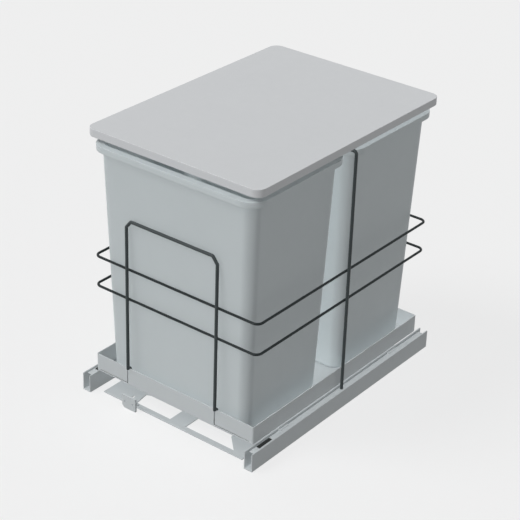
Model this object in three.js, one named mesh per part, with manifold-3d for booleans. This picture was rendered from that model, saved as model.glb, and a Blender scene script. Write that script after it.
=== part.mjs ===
// Pull-out waste cabinet fitting: two open-topped bins stand in a folded steel tray, inside a wire
// cage. The tray rides on two telescopic ball slides, each sunk in a U-shaped floor channel, and a
// flat lid is carried by the middle hoop of the cage. Millimetres, +Z up, front towards -Y, origin
// on the floor under the middle.

import * as THREE from 'three';
import { mergeVertices } from 'three/addons/utils/BufferGeometryUtils.js';
import Module from 'manifold-3d';

const wasm = await Module();
wasm.setup();

// ---- Driving dimensions -------------------------------------------------------------------------

const GAP = 0.3;                   // assembled faces that touch or are welded
const OVERSHOOT = 1;               // cutters run this far past the faces that they cut

const LENGTH = 550;                // floor channels, front to back
const SPAN = 402;                  // over both floor channels

const CHANNEL_WIDTH = 18.2;
const CHANNEL_HEIGHT = 36.3;
const CHANNEL_SHEET = 2;

const PLATE_SHEET = 2;
const PLATE_SIDE_CLEARANCE = 17.8; // plate's edge from a channel
const PLATE_FRONT_SETBACK = 17.3;
const PLATE_BACK_SETBACK = 40;
const WING_WIDTH = 40;
const WING_SPACING = 220;
const WING_TAB_HEIGHT = 24;
const WING_RIVET_Z = 7;
const RAIL_DEPTH = 11.7;           // front strip of the base plate, ahead of its windows
const WINDOW_BACK_SETBACK = 65;
const LEFT_WINDOW_SETBACK = 67;    // from the plate's left edge
const LEFT_WINDOW_RIGHT = -12;
const LEFT_WINDOW_CORNER = 8;
const LEFT_WINDOW_CUT = 5;
const RIGHT_WINDOW_LEFT = 25;
const RIGHT_WINDOW_SETBACK = 28;   // from the plate's right edge
const RIGHT_WINDOW_CORNER = 30;
const SLOT_SETBACK = 39.5;
const SLOT_INSET = 54;             // from the plate's left edge
const SLOT_WIDTH = 4;
const SLOT_LENGTH = 8;

const LUG_SHEET = 4;
const LUG_WIDTH = 31.8;
const LUG_HEIGHT = 27;
const LUG_INSET = 73.8;            // lug's middle from the plate's left edge
const LUG_SETBACK = 5;
const LUG_CORNER = 5;
const LUG_HOLE = 4;
const LUG_HOLE_SPACING = 19;
const LUG_FOOT_THICKNESS = 2.5;
const LUG_FOOT_WIDTH = 19;
const LUG_FOOT_OFFSET = -2.5;      // foot's middle from the lug's middle
const LUG_FOOT_LAP = 9;
const LUG_RIVET_SPACING = 9;
const LUG_RIVET_SETBACK = 5;       // from the plate's front edge

const RIVET_SHANK = 3;
const RIVET_HEAD = 6;
const RIVET_HEAD_THICKNESS = 0.9;
const HOLE_CLEARANCE = 0.3;        // on each side of a shank

const SLIDE_SHEET = 1.1;
const SLIDE_SETBACK = 20;          // slide members from the channel's ends
const SLIDE_CLEARANCE = 1;         // outer member from the channel's web and from the runner
const SLIDE_TRAVEL_LOSS = 50;      // channel length less the pull-out travel
const MIDDLE_SETBACK = 5;          // middle member from the ends of the outer one
const BALL = 3;
const BALL_CLEARANCE = 0.15;
const BALLS_IN_ROW = 5;
const CAGE_CLEARANCE = 14;         // a ball cage from the ends of its members, fully open
const CAGE_SHEET = 0.5;
const CAGE_MARGIN = 20;            // cage length beyond its first and last balls
const OUTER_BALL_X = 6.0;          // ball rows, from the channel's outer wall
const INNER_BALL_X = 8.0;

const RUNNER_SHEET = 1.5;
const RUNNER_DROP = 3.3;           // runner's top below the channel's rim
const RUNNER_SETBACK = 10;         // runner's top from the channel's ends
const RUNNER_WEB_CLEARANCE = 1.9;  // from the channel's inner wall
const RUNNER_EDGE_CLEARANCE = 0.5; // from the channel's outer wall
const RUNNER_WEB_DROP = 8;         // web below the slide's middle
const RUNNER_RIVET_SPACING = 360;
const BUFFER_LENGTH = 35;
const BUFFER_WIDTH = 6.4;
const BUFFER_THICKNESS = 2;
const BUFFER_SETBACK = 27;
const BUMPER_LENGTH = 5;

const TRAY_SIDE_CLEARANCE = 6.9;   // tray's side from the middle of the hoop's leg
const TRAY_FRONT_SETBACK = 21.5;
const TRAY_BACK_SETBACK = 21.5;
const TRAY_LIFT = 3.7;             // tray floor above the channels' rims
const TRAY_WALL = 35.2;
const TRAY_SHEET = 1.5;
const TRAY_BEND = 3;               // outer radius of the upright bends
const TRAY_SLOT = 2;               // slits beside the front flap and under the side returns
const TRAY_SLOT_RISE = 0.1;        // slits under the returns, above the floor
const TRAY_RELIEF = 9;             // ends of the slits under the returns, from the sides
const FLAP_LEFT_INSET = 77.6;      // front flap from the tray's sides
const FLAP_RIGHT_INSET = 88.6;

const BRACKET_SHEET = 1.5;
const BRACKET_WIDTH = 26;
const BRACKET_FOOT = 4;            // foot of a bracket on its runner
const BRACKET_REACH = 16;          // lap of a bracket under the tray floor
const BRACKET_SPACING = 340;
const BRACKET_WEB_CLEARANCE = 0.8; // from the channel's inner wall
const BRACKET_RIVET_STEP = 12;
const TRAY_RIVET_OFFSET = 1;       // towards the middle, from the middle of the lap

const HOOP_WIRE = 6;
const RING_WIRE = 5;
const WIRE_SIDES = 10;
const RING_DROPS = [286, 226];     // lower and upper ring, below the rims
const RING_CORNER = 12;
const RING_CLEARANCE = 0.4;        // upper ring from the front bin's wall
const RING_BACK_SETBACK = 18;
const FRONT_HOOP_DROP = 125.5;     // top bar's middle below the rims
const LEFT_LEG_INSET = 3.4;        // front hoop's left leg inside the flap's left edge
const RIGHT_LEG_OUTSET = 4.2;      // its right leg outside the flap's right edge
const FRONT_HOOP_CORNER_DROP = 13;
const FRONT_HOOP_CORNER_RUN = 10.4;
const CENTRE_HOOP_CHAMFER = 3.5;
const BLADE_THICKNESS = 2.5;
const BLADE_LAP = 2;               // blade above the leg's foot

const BIN_SIDE_CLEARANCE = 1.7;    // rim inside the tray's side
const BIN_HEIGHT = 464.2;
const BIN_SPACE = 7.4;             // between the rims of the two bins
const BIN_END_SETBACK = 8.3;       // outer rims from the channels' ends
const BIN_WALL = 2.5;
const BIN_CORNER = 35;
const BIN_FLANGE = 14;
const BIN_SKIRT = 11.5;
const BIN_SKIRT_WALL = 2;
const BIN_RIM_EDGE = 1.5;
const BIN_SHOULDER = 12;           // wall inset under the skirt
const BIN_SHOULDER_DROP = 3;       // where the wall's slope starts, below the skirt
const BIN_FOOT_INSET = 26;         // wall inset at the floor
const BIN_LEAST_CORNER = 20;

const LID_OVERHANG = 6.4;          // beyond the rims, on the left and right
const LID_SETBACK = 10.4;
const LID_THICKNESS = 14.8;
const LID_CORNER = 18;
const LID_EDGE = 0.8;
const BAR_CLEARANCE = 5.1;         // hoop's top bar above the bins' rims
const SADDLE_BRIDGE = 1.2;         // saddle over the bar
const SADDLE_SPACING = 190;
const SADDLE_WIDTH = 30;
const SADDLE_LENGTH = 64;
const SADDLE_SCREW_PITCH = 40;
const SCREW_SHANK = 3.5;
const SCREW_HEAD = 7;
const SCREW_HEAD_HEIGHT = 2.4;
const SCREW_HEAD_RECESS = 1;       // hole for the head, deeper than the head
const SCREW_REACH = 9;             // into the lid

// ---- Levels and places that follow from them ----------------------------------------------------

const FRONT = -LENGTH / 2;
const BACK = LENGTH / 2;
const OUTER_X = SPAN / 2;
const CHANNEL_INNER_X = OUTER_X - CHANNEL_WIDTH;
const CHANNEL_MIDDLE_X = OUTER_X - CHANNEL_WIDTH / 2;
const WELL_OUTER_X = OUTER_X - CHANNEL_SHEET;
const WELL_INNER_X = CHANNEL_INNER_X + CHANNEL_SHEET;

const RUNNER_TOP = CHANNEL_HEIGHT - RUNNER_DROP;
const RUNNER_UNDERSIDE = RUNNER_TOP - RUNNER_SHEET;
const RUNNER_FRONT = FRONT + RUNNER_SETBACK;
const RUNNER_BACK = BACK - RUNNER_SETBACK;

const TRAY_WIDTH = 2 * (CHANNEL_MIDDLE_X - TRAY_SIDE_CLEARANCE);
const FLAP_LEFT = -TRAY_WIDTH / 2 + FLAP_LEFT_INSET;
const FLAP_RIGHT = TRAY_WIDTH / 2 - FLAP_RIGHT_INSET;
const TRAY_UNDERSIDE = CHANNEL_HEIGHT + TRAY_LIFT;
const TRAY_FLOOR = TRAY_UNDERSIDE + TRAY_SHEET;
const TRAY_TOP = TRAY_UNDERSIDE + TRAY_WALL;
const TRAY_FRONT = FRONT + TRAY_FRONT_SETBACK;
const TRAY_BACK = BACK - TRAY_BACK_SETBACK;

const BIN_FLOOR = TRAY_FLOOR + GAP;
const RIM_TOP = BIN_FLOOR + BIN_HEIGHT;
const BIN_WIDTH = TRAY_WIDTH - 2 * BIN_SIDE_CLEARANCE;
const SHOULDER_Z = RIM_TOP - BIN_SKIRT - BIN_SHOULDER_DROP;
const LID_WIDTH = BIN_WIDTH + 2 * LID_OVERHANG;

const BAR_MIDDLE = RIM_TOP + BAR_CLEARANCE + HOOP_WIRE / 2;
const BAR_TOP = BAR_MIDDLE + HOOP_WIRE / 2;
const SADDLE_TOP = BAR_TOP + GAP + SADDLE_BRIDGE;
const LID_UNDERSIDE = SADDLE_TOP + GAP;

const RING_X = CHANNEL_MIDDLE_X - HOOP_WIRE / 2 - GAP - RING_WIRE / 2;
const RING_BACK = BACK - RING_BACK_SETBACK;
const RING_HEIGHTS = RING_DROPS.map((drop) => RIM_TOP - drop);
const UPPER_RING_TOP = RING_HEIGHTS[1] + RING_WIRE / 2;
const WALL_SLOPE = (BIN_FOOT_INSET - BIN_SHOULDER) / (SHOULDER_Z - BIN_FLOOR);
const WALL_INSET_AT_RING = BIN_SHOULDER + WALL_SLOPE * (SHOULDER_Z - UPPER_RING_TOP);
const RING_FRONT = FRONT + BIN_END_SETBACK + WALL_INSET_AT_RING - RING_CLEARANCE - RING_WIRE / 2;
const FRONT_HOOP_Y = RING_FRONT - RING_WIRE / 2 - GAP - HOOP_WIRE / 2;
const FRONT_HOOP_TOP = RIM_TOP - FRONT_HOOP_DROP;

// ---- Finishes -----------------------------------------------------------------------------------

const finish = (colour, roughness, metalness) =>
  new THREE.MeshStandardMaterial({ color: colour, roughness, metalness });

const GREY_PAINT = finish(0xb0b7b7, 0.45, 0.1);
const ZINC = finish(0x9ba1a4, 0.35, 0.8);
const DARK_WIRE = finish(0x464c4d, 0.4, 0.3);
const GREY_PLASTIC = finish(0xb0b7b7, 0.5, 0);
const LID_PLASTIC = finish(0xc7c9cb, 0.5, 0);
const BLACK_RUBBER = finish(0x1e2323, 0.8, 0);
const BLACK_PLASTIC = finish(0x2a2e2f, 0.6, 0);
const BRIGHT_STEEL = finish(0xc4c8ca, 0.25, 0.9);

// ---- Solids -------------------------------------------------------------------------------------

function toSolid(geometry) {
  const bare = geometry.clone();
  bare.deleteAttribute('normal');
  bare.deleteAttribute('uv');
  const merged = mergeVertices(bare, 1e-4);
  return new wasm.Manifold(new wasm.Mesh({
    numProp: 3,
    vertProperties: new Float32Array(merged.attributes.position.array),
    triVerts: new Uint32Array(merged.index.array),
  }));
}

function toGeometry(solid) {
  const mesh = solid.getMesh();
  const geometry = new THREE.BufferGeometry();
  geometry.setAttribute('position', new THREE.BufferAttribute(mesh.vertProperties, 3));
  geometry.setIndex(new THREE.BufferAttribute(mesh.triVerts, 1));
  return geometry;
}

const joined = (solids) => solids.reduce((sum, next) => sum.add(next));
const without = (solid, cutters) => cutters.reduce((rest, next) => rest.subtract(next), solid);

function box(x0, x1, y0, y1, z0, z1) {
  const geometry = new THREE.BoxGeometry(Math.abs(x1 - x0), y1 - y0, z1 - z0);
  geometry.translate((x0 + x1) / 2, (y0 + y1) / 2, (z0 + z1) / 2);
  return toSolid(geometry);
}

// A round pin along X, Y or Z, from start to end.
function pin(axis, diameter, start, end, sides = 8) {
  const from = new THREE.Vector3(...start);
  const to = new THREE.Vector3(...end);
  const length = from.distanceTo(to);
  const geometry = new THREE.CylinderGeometry(diameter / 2, diameter / 2, length, sides);
  if (axis === 'x') {
    geometry.rotateZ(Math.PI / 2);
  }
  if (axis === 'z') {
    geometry.rotateX(Math.PI / 2);
  }
  const middle = from.add(to).multiplyScalar(0.5);
  geometry.translate(middle.x, middle.y, middle.z);
  return toSolid(geometry);
}

// Extrudes an outline in the X-Z plane from y0 to y1.
function extrudeAlongY(outline, y0, y1) {
  const shape = new THREE.Shape(outline.map(([x, z]) => new THREE.Vector2(x, z)));
  const geometry = new THREE.ExtrudeGeometry(shape, { depth: y1 - y0, bevelEnabled: false });
  geometry.rotateX(Math.PI / 2);
  geometry.translate(0, y1, 0);
  return toSolid(geometry);
}

// Extrudes an outline in the X-Y plane from z0 to z1.
function extrudeAlongZ(outline, z0, z1) {
  const shape = new THREE.Shape(outline.map(([x, y]) => new THREE.Vector2(x, y)));
  const geometry = new THREE.ExtrudeGeometry(shape, { depth: z1 - z0, bevelEnabled: false });
  geometry.translate(0, 0, z0);
  return toSolid(geometry);
}

// The outline of a bent sheet whose middle line runs through the points.
function sheetOutline(points, thickness) {
  const middle = points.map(([a, b]) => new THREE.Vector2(a, b));
  const left = [];
  const right = [];
  middle.forEach((point, i) => {
    const before = middle[Math.max(i - 1, 0)];
    const after = middle[Math.min(i + 1, middle.length - 1)];
    const into = (i === 0 ? after.clone().sub(point) : point.clone().sub(before)).normalize();
    const out = (i === middle.length - 1 ? into.clone() : after.clone().sub(point)).normalize();
    const mitre = into.clone().add(out).normalize();
    const offset = new THREE.Vector2(-mitre.y, mitre.x)
      .multiplyScalar(thickness / 2 / mitre.dot(into));
    left.push([point.x + offset.x, point.y + offset.y]);
    right.unshift([point.x - offset.x, point.y - offset.y]);
  });
  return [...left, ...right];
}

// Points on an arc, angles in degrees.
function arc(centreA, centreB, radius, from, to, steps) {
  return Array.from({ length: steps + 1 }, (_, i) => {
    const angle = THREE.MathUtils.degToRad(from + (to - from) * i / steps);
    return [centreA + radius * Math.cos(angle), centreB + radius * Math.sin(angle)];
  });
}

function roundedRectangle(halfX, y0, y1, radius, steps) {
  return [
    ...arc(halfX - radius, y1 - radius, radius, 0, 90, steps),
    ...arc(-halfX + radius, y1 - radius, radius, 90, 180, steps),
    ...arc(-halfX + radius, y0 + radius, radius, 180, 270, steps),
    ...arc(halfX - radius, y0 + radius, radius, 270, 360, steps),
  ];
}

// A wire's middle line: the extruded section stands square to the mean direction at each point.
class WirePath extends THREE.Curve {
  constructor(points) {
    super();
    this.points = points.map((point) => new THREE.Vector3(...point));
  }

  getPoint(t) {
    return this.points[Math.round(t * (this.points.length - 1))].clone();
  }

  getSpacedPoints() {
    return this.points.map((point) => point.clone());
  }

  getTangentAt(u) {
    const last = this.points.length - 1;
    const i = Math.round(u * last);
    const ahead = this.points[Math.min(i + 1, last)].clone().sub(this.points[i]).normalize();
    const behind = this.points[i].clone().sub(this.points[Math.max(i - 1, 0)]).normalize();
    return ahead.add(behind).normalize();
  }
}

function wire(points, diameter) {
  const section = new THREE.Shape(
    arc(0, 0, diameter / 2, 0, 360 - 360 / WIRE_SIDES, WIRE_SIDES - 1)
      .map(([a, b]) => new THREE.Vector2(a, b)));
  const path = new WirePath(points);
  const geometry = new THREE.ExtrudeGeometry(section, {
    steps: points.length - 1,
    extrudePath: path,
  });
  return toSolid(geometry);
}

// ---- Fasteners ----------------------------------------------------------------------------------

// A rivet along X, Y or Z: a shank between two flat heads.
function rivet(axis, at, gripStart, gripEnd) {
  const place = (distance) => at.map((value, i) => value + ('xyz'[i] === axis ? distance : 0));
  const low = gripStart - GAP / 2;
  const high = gripEnd + GAP / 2;
  return joined([
    pin(axis, RIVET_SHANK, place(low - RIVET_HEAD_THICKNESS / 2),
      place(high + RIVET_HEAD_THICKNESS / 2)),
    pin(axis, RIVET_HEAD, place(low - RIVET_HEAD_THICKNESS), place(low)),
    pin(axis, RIVET_HEAD, place(high), place(high + RIVET_HEAD_THICKNESS)),
  ]);
}

function rivetHole(axis, at, from, to) {
  const place = (distance) => at.map((value, i) => value + ('xyz'[i] === axis ? distance : 0));
  return pin(axis, RIVET_SHANK + 2 * HOLE_CLEARANCE, place(from - OVERSHOOT), place(to + OVERSHOOT));
}

// ---- Floor channels and base plate --------------------------------------------------------------

const WING_YS = [-WING_SPACING / 2, WING_SPACING / 2];
const TAB_OUTER_X = CHANNEL_INNER_X - GAP;
const TAB_INNER_X = TAB_OUTER_X - PLATE_SHEET;

function channel(side) {
  const half = CHANNEL_SHEET / 2;
  const outline = sheetOutline([
    [side * (CHANNEL_INNER_X + half), CHANNEL_HEIGHT],
    [side * (CHANNEL_INNER_X + half), half],
    [side * (OUTER_X - half), half],
    [side * (OUTER_X - half), CHANNEL_HEIGHT],
  ], CHANNEL_SHEET);
  const holes = WING_YS.map((y) =>
    rivetHole('x', [side * CHANNEL_INNER_X, y, WING_RIVET_Z], -CHANNEL_SHEET, CHANNEL_SHEET));
  return without(extrudeAlongY(outline, FRONT, BACK), holes);
}

const WINDOW_FRONT = FRONT + PLATE_FRONT_SETBACK + RAIL_DEPTH;
const WINDOW_BACK = FRONT + WINDOW_BACK_SETBACK;
const PLATE_HALF_WIDTH = CHANNEL_INNER_X - PLATE_SIDE_CLEARANCE;
const LUG_CENTRE_X = -PLATE_HALF_WIDTH + LUG_INSET;
const LUG_FOOT_X = LUG_CENTRE_X + LUG_FOOT_OFFSET;
const lugRivets = [-LUG_RIVET_SPACING / 2, LUG_RIVET_SPACING / 2].map((x) =>
  [LUG_FOOT_X + x, FRONT + PLATE_FRONT_SETBACK + LUG_RIVET_SETBACK, PLATE_SHEET]);

function plateWindows() {
  const farLeft = -PLATE_HALF_WIDTH + LEFT_WINDOW_SETBACK;
  const left = [
    [farLeft + LEFT_WINDOW_CUT, WINDOW_FRONT],
    [LEFT_WINDOW_RIGHT, WINDOW_FRONT],
    [LEFT_WINDOW_RIGHT, WINDOW_BACK],
    [farLeft + LEFT_WINDOW_CORNER, WINDOW_BACK],
    [farLeft, WINDOW_BACK - LEFT_WINDOW_CORNER / 2],
  ];
  const farRight = PLATE_HALF_WIDTH - RIGHT_WINDOW_SETBACK;
  const right = [
    [RIGHT_WINDOW_LEFT, WINDOW_FRONT],
    [farRight, WINDOW_FRONT],
    [farRight - RIGHT_WINDOW_CORNER, WINDOW_FRONT + RIGHT_WINDOW_CORNER],
    [farRight - RIGHT_WINDOW_CORNER, WINDOW_BACK],
    [RIGHT_WINDOW_LEFT, WINDOW_BACK],
  ];
  return [left, right].map((outline) =>
    extrudeAlongZ(outline, -OVERSHOOT, PLATE_SHEET + OVERSHOOT));
}

function basePlate() {
  const sheet = box(-PLATE_HALF_WIDTH, PLATE_HALF_WIDTH, FRONT + PLATE_FRONT_SETBACK,
    BACK - PLATE_BACK_SETBACK, 0, PLATE_SHEET);
  const wings = [-1, 1].flatMap((side) => WING_YS.flatMap((y) => [
    box(side * (PLATE_HALF_WIDTH - OVERSHOOT), side * TAB_OUTER_X, y - WING_WIDTH / 2,
      y + WING_WIDTH / 2, 0, PLATE_SHEET),
    box(side * TAB_INNER_X, side * TAB_OUTER_X, y - WING_WIDTH / 2, y + WING_WIDTH / 2,
      0, WING_TAB_HEIGHT),
  ]));
  const tabHoles = [-1, 1].flatMap((side) => WING_YS.map((y) =>
    rivetHole('x', [side * TAB_INNER_X, y, WING_RIVET_Z], -PLATE_SHEET, PLATE_SHEET)));
  const slotX = -PLATE_HALF_WIDTH + SLOT_INSET;
  const slotY = FRONT + SLOT_SETBACK;
  const slot = box(slotX - SLOT_WIDTH / 2, slotX + SLOT_WIDTH / 2, slotY - SLOT_LENGTH / 2,
    slotY + SLOT_LENGTH / 2, -OVERSHOOT, PLATE_SHEET + OVERSHOOT);
  const lugHoles = lugRivets.map((at) => rivetHole('z', at, -PLATE_SHEET, 0));
  return without(joined([sheet, ...wings]), [...plateWindows(), ...tabHoles, slot, ...lugHoles]);
}

function wingRivet(side, y) {
  const grip = side * (PLATE_SHEET + GAP + CHANNEL_SHEET);
  return rivet('x', [side * TAB_INNER_X, y, WING_RIVET_Z], Math.min(0, grip), Math.max(0, grip));
}

// The lug's foot is riveted on the plate's front strip; each rivet is flush with the floor.
const FOOT_BOTTOM = PLATE_SHEET + GAP;
const FOOT_TOP = FOOT_BOTTOM + LUG_FOOT_THICKNESS;

function frontLug() {
  const y = FRONT + LUG_SETBACK;
  const left = LUG_CENTRE_X - LUG_WIDTH / 2;
  const right = LUG_CENTRE_X + LUG_WIDTH / 2;
  const face = extrudeAlongY([
    [left + LUG_CORNER, 0],
    [right, 0],
    [right, LUG_HEIGHT],
    [left, LUG_HEIGHT],
    [left, LUG_CORNER],
  ], y, y + LUG_SHEET);
  const foot = box(LUG_FOOT_X - LUG_FOOT_WIDTH / 2, LUG_FOOT_X + LUG_FOOT_WIDTH / 2,
    y + LUG_SHEET / 2, FRONT + PLATE_FRONT_SETBACK + LUG_FOOT_LAP, FOOT_BOTTOM, FOOT_TOP);
  const holes = [-LUG_HOLE_SPACING / 2, LUG_HOLE_SPACING / 2].map((offset) => {
    const x = LUG_CENTRE_X + offset;
    return pin('y', LUG_HOLE, [x, y - OVERSHOOT, LUG_HEIGHT / 2],
      [x, y + LUG_SHEET + OVERSHOOT, LUG_HEIGHT / 2], 12);
  });
  const rivetHoles = lugRivets.map((at) => rivetHole('z', at, GAP, GAP + LUG_FOOT_THICKNESS));
  return without(face.add(foot), [...holes, ...rivetHoles]);
}

function lugRivet([x, y]) {
  const head = FOOT_TOP + GAP / 2;
  return joined([
    pin('z', RIVET_SHANK, [x, y, 0], [x, y, head + RIVET_HEAD_THICKNESS / 2]),
    pin('z', RIVET_HEAD, [x, y, head], [x, y, head + RIVET_HEAD_THICKNESS]),
  ]);
}

// ---- Ball slides, inside the channels -----------------------------------------------------------

// Heights of the ball rows above and below the slide's middle. Each row runs between two members.
const SLIDE_MIDDLE_Z = (CHANNEL_SHEET + RUNNER_UNDERSIDE) / 2;
const RACE = BALL / 2 + BALL_CLEARANCE + SLIDE_SHEET / 2;
const OUTER_HALF_HEIGHT = (RUNNER_UNDERSIDE - CHANNEL_SHEET) / 2 - SLIDE_CLEARANCE;
const OUTER_ROW = OUTER_HALF_HEIGHT - SLIDE_SHEET / 2 - RACE;
const INNER_ROW = OUTER_ROW - 2 * RACE;
const OUTER_ROW_X = WELL_OUTER_X - OUTER_BALL_X;
const INNER_ROW_X = WELL_OUTER_X - INNER_BALL_X;
const OUTER_WEB_X = WELL_OUTER_X - GAP - SLIDE_SHEET / 2;
const MIDDLE_WEB_X = OUTER_WEB_X - SLIDE_SHEET - 3 * GAP - CAGE_SHEET;
const RUNNER_WEB_X = WELL_INNER_X + RUNNER_WEB_CLEARANCE + RUNNER_SHEET / 2;
const INNER_WEB_X = RUNNER_WEB_X + RUNNER_SHEET / 2 + GAP + SLIDE_SHEET / 2;

const SLIDE_FRONT = FRONT + SLIDE_SETBACK;
const SLIDE_BACK = BACK - SLIDE_SETBACK;
const SLIDE_TRAVEL = LENGTH - SLIDE_TRAVEL_LOSS;
const MIDDLE_LENGTH = SLIDE_BACK - SLIDE_FRONT - 2 * MIDDLE_SETBACK;
const CAGE_LENGTH = MIDDLE_LENGTH - SLIDE_TRAVEL / 2 - CAGE_CLEARANCE;
const BALL_PITCH = (CAGE_LENGTH - CAGE_MARGIN) / (BALLS_IN_ROW - 1);

// Where each member's web bends into its ball race, above and below the slide's middle.
const OUTER_WEB_END = OUTER_ROW + 0.6 * RACE;
const MIDDLE_WEB_END = OUTER_ROW - 0.9 * RACE;
const INNER_WEB_END = INNER_ROW - 0.9 * RACE;

// A member's half profile, from its web towards its free edge, mirrored about the slide's middle.
function slideMember(side, webX, upperHalf, y0, y1) {
  const place = ([x, z]) => [side * x, SLIDE_MIDDLE_Z + z];
  const lowerHalf = upperHalf.map(([x, z]) => [x, -z]).reverse();
  const middle = [...lowerHalf, ...upperHalf].map(place);
  return extrudeAlongY(sheetOutline(middle, SLIDE_SHEET), y0, y1);
}

function outerMember(side) {
  const half = [
    [OUTER_WEB_X, OUTER_WEB_END],
    ...arc(OUTER_ROW_X, OUTER_ROW, RACE, 40, 140, 4),
  ];
  return slideMember(side, OUTER_WEB_X, half, SLIDE_FRONT, SLIDE_BACK);
}

function middleMember(side) {
  const half = [
    [MIDDLE_WEB_X, MIDDLE_WEB_END],
    ...arc(OUTER_ROW_X, OUTER_ROW, RACE, -50, -90, 2),
    ...arc(INNER_ROW_X, INNER_ROW, RACE, 90, 150, 2),
  ];
  return slideMember(side, MIDDLE_WEB_X, half, SLIDE_FRONT + MIDDLE_SETBACK,
    SLIDE_BACK - MIDDLE_SETBACK);
}

const RUNNER_RIVET_YS = [-RUNNER_RIVET_SPACING / 2, RUNNER_RIVET_SPACING / 2];

function innerMember(side) {
  const half = [
    [INNER_WEB_X, INNER_WEB_END],
    ...arc(INNER_ROW_X, INNER_ROW, RACE, -130, -40, 3),
  ];
  const holes = RUNNER_RIVET_YS.map((y) =>
    rivetHole('x', [side * INNER_WEB_X, y, SLIDE_MIDDLE_Z], -SLIDE_SHEET, SLIDE_SHEET));
  return without(slideMember(side, INNER_WEB_X, half, SLIDE_FRONT, SLIDE_BACK), holes);
}

// Balls held by a thin bent strip: its web lies between two members' webs, and its edges nearly
// reach round the balls.
const CAGE_GRIP = 0.45 * BALL;

function ballCage(side, webX, rowX, row) {
  const edgeX = rowX + Math.sign(rowX - webX) * CAGE_GRIP;
  const strip = extrudeAlongY(sheetOutline([
    [side * edgeX, SLIDE_MIDDLE_Z + row],
    [side * webX, SLIDE_MIDDLE_Z + row],
    [side * webX, SLIDE_MIDDLE_Z - row],
    [side * edgeX, SLIDE_MIDDLE_Z - row],
  ], CAGE_SHEET), -CAGE_LENGTH / 2, CAGE_LENGTH / 2);
  const balls = [-row, row].flatMap((z) => Array.from({ length: BALLS_IN_ROW }, (_, i) => {
    const ball = new THREE.OctahedronGeometry(BALL / 2, 1);
    const y = (i - (BALLS_IN_ROW - 1) / 2) * BALL_PITCH;
    ball.translate(side * rowX, y, SLIDE_MIDDLE_Z + z);
    return toSolid(ball);
  }));
  return joined([strip, ...balls]);
}

function outerCage(side) {
  const webX = (OUTER_WEB_X + MIDDLE_WEB_X) / 2;
  return ballCage(side, webX, OUTER_ROW_X, OUTER_ROW);
}

function innerCage(side) {
  const webX = MIDDLE_WEB_X - SLIDE_SHEET / 2 - 2 * GAP - CAGE_SHEET / 2;
  return ballCage(side, webX, INNER_ROW_X, INNER_ROW);
}

// ---- Runners: the moving rails that fill the channels' mouths ------------------------------------

const RUNNER_EDGE_X = WELL_OUTER_X - RUNNER_EDGE_CLEARANCE;
const BUFFER_INNER_X = CHANNEL_MIDDLE_X - BUFFER_WIDTH / 2;

// Its web is as long as the slide. Its top runs on past the web, over the channel's open ends.
function runner(side) {
  const outline = sheetOutline([
    [side * RUNNER_WEB_X, SLIDE_MIDDLE_Z - RUNNER_WEB_DROP],
    [side * RUNNER_WEB_X, RUNNER_TOP - RUNNER_SHEET / 2],
    [side * RUNNER_EDGE_X, RUNNER_TOP - RUNNER_SHEET / 2],
  ], RUNNER_SHEET);
  const holes = RUNNER_RIVET_YS.map((y) =>
    rivetHole('x', [side * RUNNER_WEB_X, y, SLIDE_MIDDLE_Z], -RUNNER_SHEET, RUNNER_SHEET));
  const webEnds = [
    [RUNNER_FRONT - OVERSHOOT, SLIDE_FRONT],
    [SLIDE_BACK, RUNNER_BACK + OVERSHOOT],
  ].map(([y0, y1]) => box(side * WELL_INNER_X, side * WELL_OUTER_X, y0, y1, 0, RUNNER_UNDERSIDE));
  return without(extrudeAlongY(outline, RUNNER_FRONT, RUNNER_BACK), [...holes, ...webEnds]);
}

function runnerRivet(side, y) {
  const start = RUNNER_WEB_X - RUNNER_SHEET / 2;
  const end = INNER_WEB_X + SLIDE_SHEET / 2;
  const grip = [side * start, side * end].sort((a, b) => a - b);
  return rivet('x', [0, y, SLIDE_MIDDLE_Z], grip[0], grip[1]);
}

function runnerBuffer(side) {
  const y = FRONT + BUFFER_SETBACK;
  return box(side * BUFFER_INNER_X, side * (BUFFER_INNER_X + BUFFER_WIDTH), y, y + BUFFER_LENGTH,
    RUNNER_TOP + GAP, RUNNER_TOP + GAP + BUFFER_THICKNESS);
}

function rearBumper(side) {
  const y = SLIDE_BACK + GAP;
  return box(side * (WELL_INNER_X + GAP), side * (WELL_OUTER_X - GAP), y, y + BUMPER_LENGTH,
    CHANNEL_SHEET + GAP, RUNNER_UNDERSIDE - GAP);
}

// ---- Tray and its brackets ----------------------------------------------------------------------

const BRACKET_YS = [-BRACKET_SPACING / 2, BRACKET_SPACING / 2];
const BRACKET_TOP = TRAY_UNDERSIDE - GAP;
const BRACKET_WEB_X = WELL_INNER_X + BRACKET_WEB_CLEARANCE + BRACKET_SHEET / 2;
const BRACKET_INNER_X = TRAY_WIDTH / 2 - BRACKET_REACH;
const TRAY_RIVET_X = BRACKET_INNER_X + BRACKET_REACH / 2 - TRAY_RIVET_OFFSET;
const trayRivetYs = BRACKET_YS.flatMap((y) =>
  [y - BRACKET_RIVET_STEP / 2, y + BRACKET_RIVET_STEP / 2]);

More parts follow.
